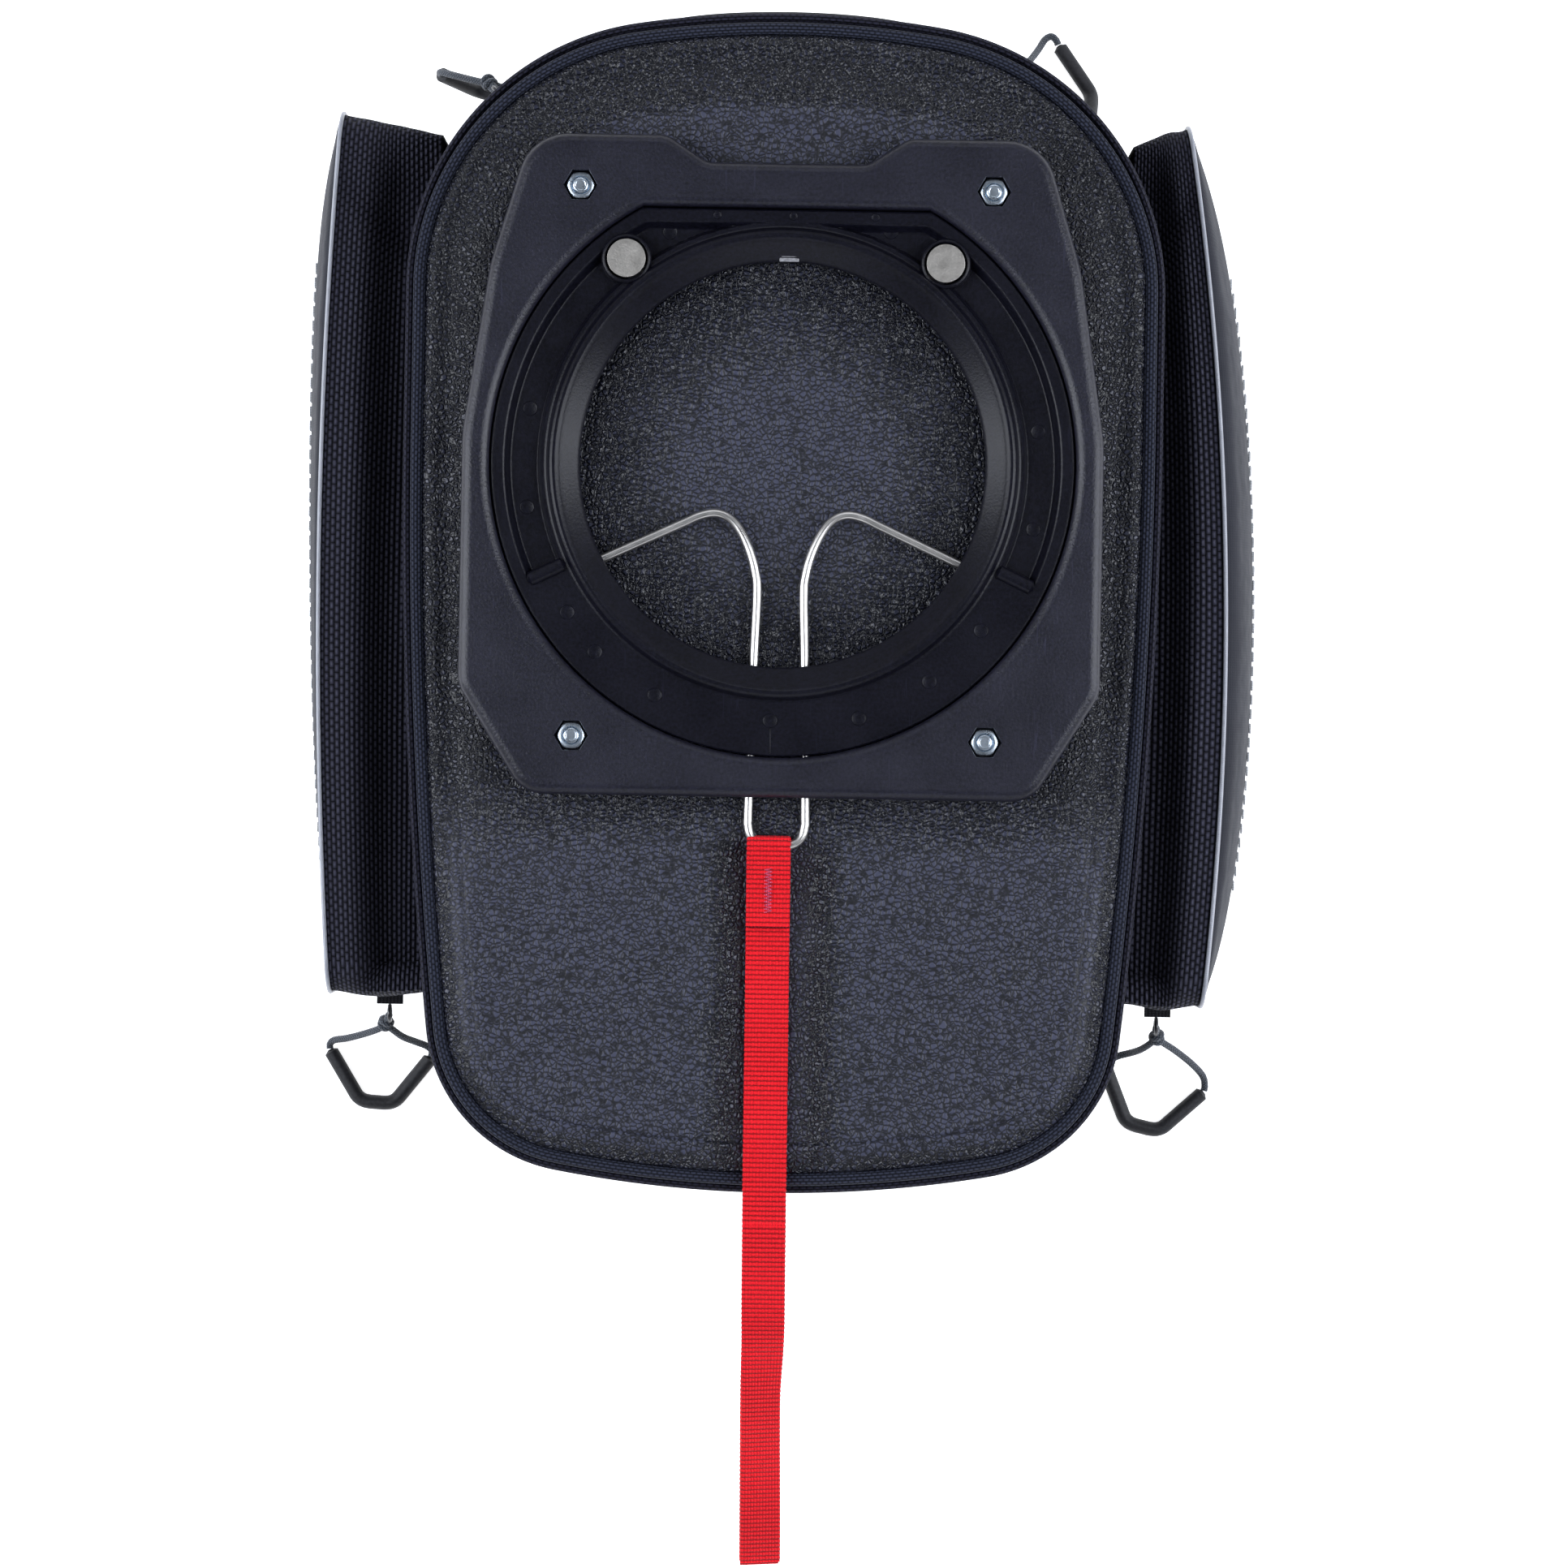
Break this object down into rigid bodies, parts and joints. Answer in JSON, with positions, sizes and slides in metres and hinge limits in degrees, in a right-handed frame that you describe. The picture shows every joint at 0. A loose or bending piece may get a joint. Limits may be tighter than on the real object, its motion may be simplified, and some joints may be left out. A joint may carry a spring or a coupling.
{
  "type": "motorcycle tank bag",
  "caption": "Soft tank bag lying on its lid, lock-ring plate up: moulded base, spring-wire release with a red strap, zipped side pockets, cord zip pulls, zipped lid.",
  "frame": {"origin": "on the lock ring's axis, at the face of the mounting plate", "axes": "+Z out of the ring's face, +Y to the front of the bag, +X to the right seen from the ring side; the bag lies on its lid"},
  "size_m": [0.313, 0.514, 0.17],
  "materials": {
    "plate_plastic": "satin moulded plastic",
    "ring_plastic": "moulded plastic, slightly worn",
    "zinc": "zinc plated",
    "nickel": "nickel plated",
    "spring_steel": "bright drawn wire",
    "strap_webbing": "ribbed webbing",
    "moulded_eva": "grained moulded foam",
    "board": "matte",
    "piping_fabric": "woven tape",
    "wall_fabric": "woven polyester",
    "lining_fabric": "thin coated fabric",
    "zip_tape": "woven tape with a moulded coil",
    "cordura": "coarse basket weave",
    "coated_fabric": "smooth coated fabric, semi gloss",
    "reflective": "reflective piping",
    "slider_metal": "black enamel",
    "braided_cord": "braided cord",
    "grip_rubber": "matte rubber",
    "handle_webbing": "ribbed webbing"
  },
  "bodies": {
    "root": {"mounting_plate": "plate_plastic", "lock_ring": "ring_plastic", "hex_nuts": "zinc", "plate_screws": "zinc", "screw_washers": "zinc", "ring_magnets": "nickel", "base_panel": "moulded_eva", "base_stiffener": "board", "base_piping": "piping_fabric", "side_wall": "wall_fabric", "inner_lining": "lining_fabric", "main_zip_tape": "zip_tape", "expansion_zip": "zip_tape", "lid_hinge_flap": "wall_fabric", "carry_handle": "handle_webbing", "pocket_gusset_left": "cordura", "pocket_gusset_right": "cordura", "pocket_panel_left": "coated_fabric", "pocket_panel_right": "coated_fabric", "pocket_piping_left": "reflective", "pocket_piping_right": "reflective", "pocket_zip_left": "zip_tape", "pocket_zip_right": "zip_tape"},
    "release": {"wire_clip": "spring_steel", "pull_strap": "strap_webbing"},
    "lid": {"lid_panel": "moulded_eva", "lid_gusset": "wall_fabric", "lid_piping": "piping_fabric", "lid_lining": "lining_fabric", "lid_zip_tape": "zip_tape"},
    "main_slider": {"main_slider": "slider_metal"},
    "expansion_slider": {"expansion_slider": "slider_metal"},
    "left_slider": {"pocket_slider_left": "slider_metal"},
    "right_slider": {"pocket_slider_right": "slider_metal"},
    "main_pull": {"main_pull_tab": "slider_metal", "main_pull_cord": "braided_cord", "main_pull_grip": "grip_rubber"},
    "expansion_pull": {"expansion_pull_tab": "slider_metal", "expansion_pull_cord": "braided_cord", "expansion_pull_grip": "grip_rubber"},
    "left_pull": {"left_pull_tab": "slider_metal", "left_pull_cord": "braided_cord", "left_pull_grip": "grip_rubber"},
    "right_pull": {"right_pull_tab": "slider_metal", "right_pull_cord": "braided_cord", "right_pull_grip": "grip_rubber"}
  },
  "joints": [
    {"name": "release_pull", "type": "slide", "parent": "root", "child": "release", "axis": [0, -1, 0], "range_m": [0, 0.009], "stiffness_N_per_m": 300},
    {"name": "lid_hinge", "type": "hinge", "parent": "root", "child": "lid", "pos_m": [0, 0.149, -0.15], "axis": [1, 0, 0], "range_deg": [0, 177]},
    {"name": "main_zip_travel", "type": "hinge", "parent": "root", "child": "main_slider", "pos_m": [0.035, 0.05617, -0.15], "axis": [0, 0, 1], "range_deg": [-40, 0]},
    {"name": "expansion_zip_travel", "type": "hinge", "parent": "root", "child": "expansion_slider", "pos_m": [-0.035, 0.05617, -0.124], "axis": [0, 0, 1], "range_deg": [-28, 0]},
    {"name": "left_zip_travel", "type": "slide", "parent": "root", "child": "left_slider", "axis": [0, 1, 0], "range_m": [0, 0.2]},
    {"name": "right_zip_travel", "type": "slide", "parent": "root", "child": "right_slider", "axis": [0, 1, 0], "range_m": [0, 0.2]},
    {"name": "main_pull_swing", "type": "hinge", "parent": "main_slider", "child": "main_pull", "pos_m": [0.0788, 0.141, -0.15], "axis": [0, 0, 1], "range_deg": [0, 30]},
    {"name": "expansion_pull_swing", "type": "hinge", "parent": "expansion_slider", "child": "expansion_pull", "pos_m": [-0.0955, 0.1278, -0.1246], "axis": [0.76, 0.65, 0], "range_deg": [0, 60]},
    {"name": "left_pull_swing", "type": "hinge", "parent": "left_slider", "child": "left_pull", "pos_m": [-0.1314, -0.179, -0.1446], "axis": [0, 0, 1], "range_deg": [-35, 20]},
    {"name": "right_pull_swing", "type": "hinge", "parent": "right_slider", "child": "right_pull", "pos_m": [0.131, -0.179, -0.1446], "axis": [0, 0, 1], "range_deg": [-20, 35]}
  ]
}
